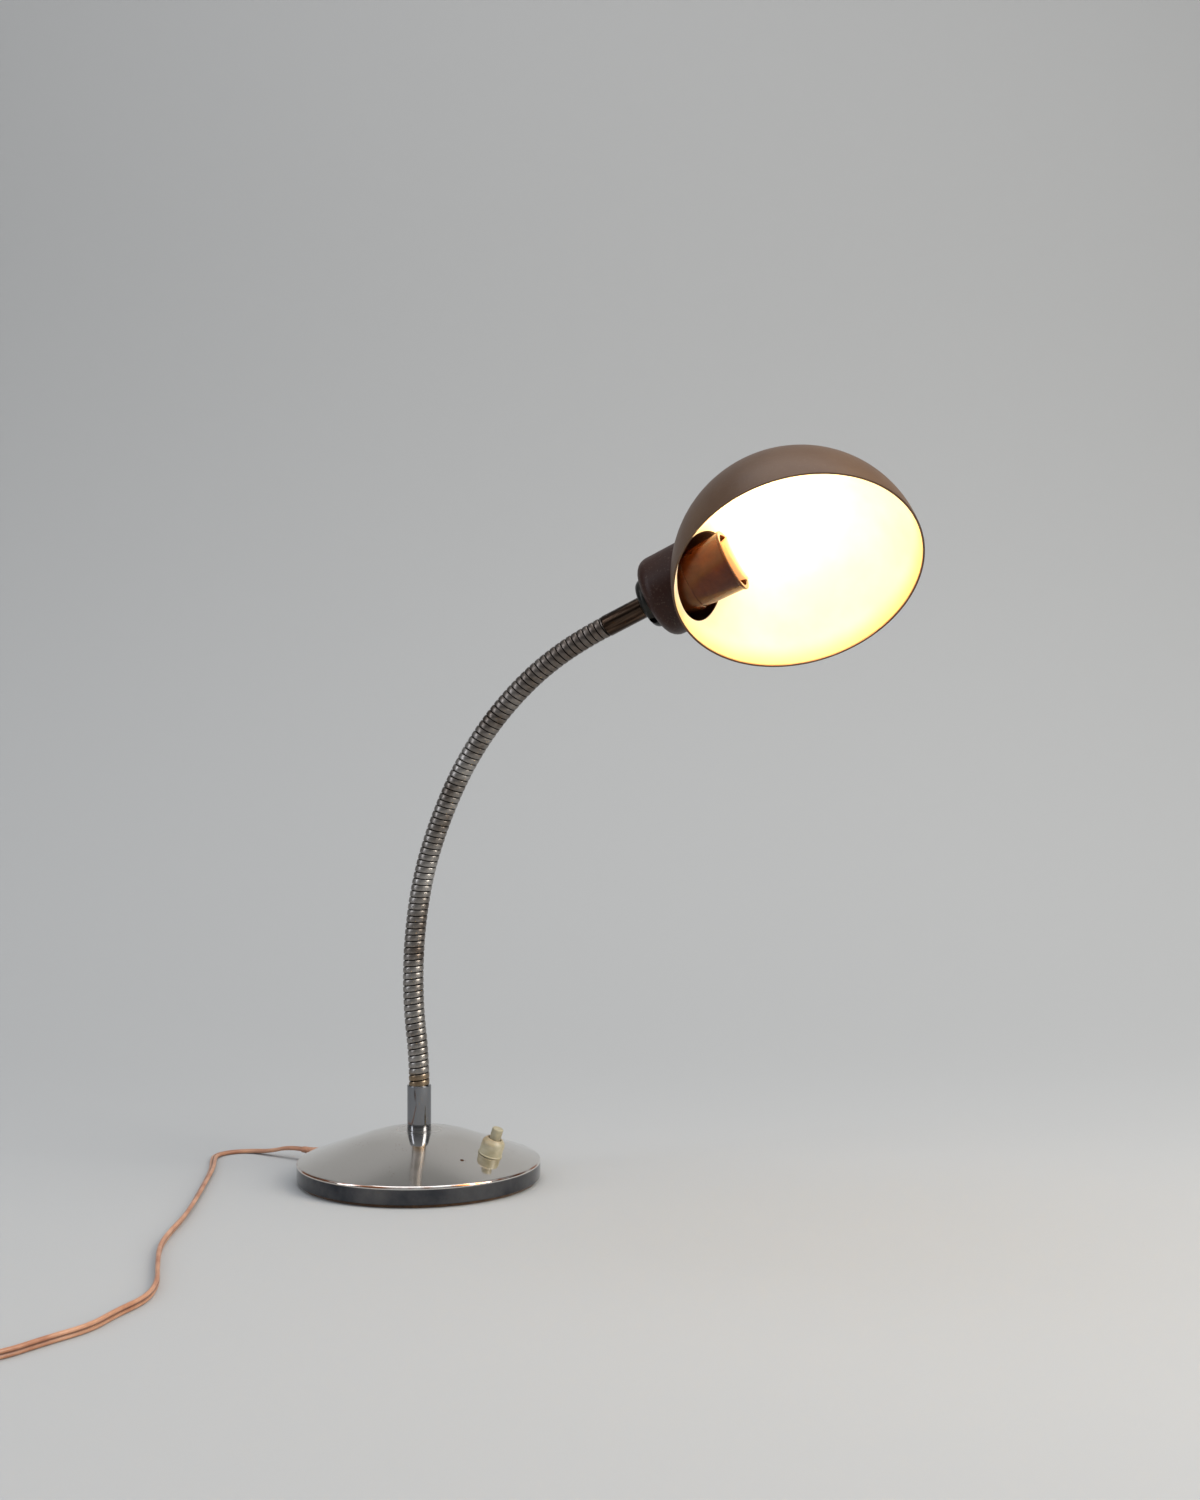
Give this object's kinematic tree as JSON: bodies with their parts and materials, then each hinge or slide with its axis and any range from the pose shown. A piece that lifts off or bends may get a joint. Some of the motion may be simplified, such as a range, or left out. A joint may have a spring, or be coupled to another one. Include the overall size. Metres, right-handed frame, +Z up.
{
  "type": "gooseneck desk lamp",
  "caption": "Gooseneck desk lamp: heavy round chromed base with a push switch, flexible ribbed neck and a half-sphere enamelled shade.",
  "frame": {"origin": "on the table, under the middle of the round base", "axes": "+Z up, the neck leans towards +X and the shade opens down and towards -Y"},
  "size_m": [0.5317, 0.5359, 0.452],
  "materials": {
    "chrome": "polished chrome plate",
    "cast_iron": "rough casting, painted inside",
    "zinc_steel": "bright zinc plate",
    "felt": "pressed felt",
    "cream_plastic": "moulded, aged cream",
    "black_plastic": "moulded",
    "spring_steel": "drawn wire",
    "brass": "stamped",
    "black_rubber": "moulded",
    "lead_sleeving": "extruded",
    "cord_pvc": "satin copper coloured PVC",
    "nickel_pins": "nickel plated brass",
    "hose_steel": "wound strip, nickel plated",
    "bronzed_brass": "turned, dark oxidised",
    "collar_steel": "turned, dulled nickel",
    "black_screw": "blackened",
    "brown_enamel": "baked enamel",
    "taupe_enamel": "baked enamel",
    "bakelite": "moulded, polished by use",
    "porcelain": "glazed",
    "bulb_glass": "clear",
    "bulb_aluminium": "rolled thread"
  },
  "bodies": {
    "base": {"base_leads": "lead_sleeving", "base_shell": "chrome", "base_weight": "cast_iron", "bottom_plate": "zinc_steel", "clamp_screws": "zinc_steel", "cord_clamp": "zinc_steel", "cord_coil": "cord_pvc", "cord_tie": "black_plastic", "felt_pad": "felt", "mains_cord": "cord_pvc", "neck_leads_0": "lead_sleeving", "neck_link_0": "hose_steel", "plate_screws": "zinc_steel", "plug_body": "black_plastic", "plug_pins": "nickel_pins", "plug_relief": "black_rubber", "stem_nipple": "zinc_steel", "stem_nut": "zinc_steel", "stem_sleeve": "chrome", "stem_washer": "zinc_steel", "strain_relief": "black_rubber", "switch_body": "cream_plastic", "switch_contacts": "brass", "switch_housing": "black_plastic", "switch_nut": "zinc_steel", "switch_spring": "spring_steel"},
    "neck_1": {"neck_link_1": "hose_steel", "neck_leads_1": "lead_sleeving"},
    "neck_2": {"neck_link_2": "hose_steel", "neck_leads_2": "lead_sleeving"},
    "neck_3": {"neck_link_3": "hose_steel", "neck_leads_3": "lead_sleeving"},
    "neck_4": {"neck_link_4": "hose_steel", "neck_leads_4": "lead_sleeving"},
    "neck_5": {"neck_link_5": "hose_steel", "neck_leads_5": "lead_sleeving"},
    "neck_6": {"neck_link_6": "hose_steel", "neck_leads_6": "lead_sleeving"},
    "neck_7": {"neck_link_7": "hose_steel", "neck_leads_7": "lead_sleeving"},
    "neck_8": {"neck_link_8": "hose_steel", "neck_leads_8": "lead_sleeving", "top_ferrule": "bronzed_brass"},
    "head": {"head_nipple": "zinc_steel", "collar": "collar_steel", "collar_screw": "black_screw", "socket_cup": "brown_enamel", "cup_locknut": "zinc_steel", "holder_cap": "bakelite", "holder_skirt": "bakelite", "porcelain_core": "porcelain", "thread_shell": "brass", "centre_contact": "brass", "terminal_screws": "brass", "head_leads": "lead_sleeving", "bulb_glass": "bulb_glass", "bulb_cap": "bulb_aluminium", "bulb_stem": "bulb_glass", "shade": "taupe_enamel"},
    "button": {"switch_button": "cream_plastic"}
  },
  "joints": [
    {"name": "neck_bend_1", "type": "hinge", "parent": "base", "child": "neck_1", "pos_m": [-0.00198, 0, 0.09282], "axis": [0, 1, 0], "range_deg": [-10, 10]},
    {"name": "neck_bend_2", "type": "hinge", "parent": "neck_1", "child": "neck_2", "pos_m": [-0.00409, 0, 0.13323], "axis": [0, 1, 0], "range_deg": [-10, 10]},
    {"name": "neck_lean_3", "type": "hinge", "parent": "neck_2", "child": "neck_3", "pos_m": [-0.00074, 0, 0.17356], "axis": [0.989, 0, -0.1478], "range_deg": [-10, 10]},
    {"name": "neck_bend_4", "type": "hinge", "parent": "neck_3", "child": "neck_4", "pos_m": [0.0087, 0, 0.21289], "axis": [0, 1, 0], "range_deg": [-10, 10]},
    {"name": "neck_bend_5", "type": "hinge", "parent": "neck_4", "child": "neck_5", "pos_m": [0.02402, 0, 0.25035], "axis": [0, 1, 0], "range_deg": [-10, 10]},
    {"name": "neck_lean_6", "type": "hinge", "parent": "neck_5", "child": "neck_6", "pos_m": [0.04501, 0, 0.28493], "axis": [0.8039, 0, -0.5948], "range_deg": [-10, 10]},
    {"name": "neck_bend_7", "type": "hinge", "parent": "neck_6", "child": "neck_7", "pos_m": [0.07193, 0, 0.3151], "axis": [0, 1, 0], "range_deg": [-10, 10]},
    {"name": "neck_bend_8", "type": "hinge", "parent": "neck_7", "child": "neck_8", "pos_m": [0.10432, 0, 0.33929], "axis": [0, 1, 0], "range_deg": [-10, 10]},
    {"name": "head_swivel", "type": "hinge", "parent": "neck_8", "child": "head", "pos_m": [0.12577, 0, 0.35069], "axis": [0.9026, 0, 0.4305], "range_deg": [-53.4, 126.6]},
    {"name": "switch_press", "type": "slide", "parent": "base", "child": "button", "axis": [-0.3351, 0.0591, -0.9403], "range_m": [0, 0.003], "stiffness_N_per_m": 500, "springref_m": -0.002, "deforming": ["switch_spring"]}
  ],
  "couplings": [
    {"joint": "neck_bend_2", "follows": "neck_bend_1", "ratio": 1},
    {"joint": "neck_bend_4", "follows": "neck_bend_1", "ratio": 1},
    {"joint": "neck_lean_6", "follows": "neck_lean_3", "ratio": 1},
    {"joint": "neck_bend_7", "follows": "neck_bend_5", "ratio": 1},
    {"joint": "neck_bend_8", "follows": "neck_bend_5", "ratio": 1}
  ]
}
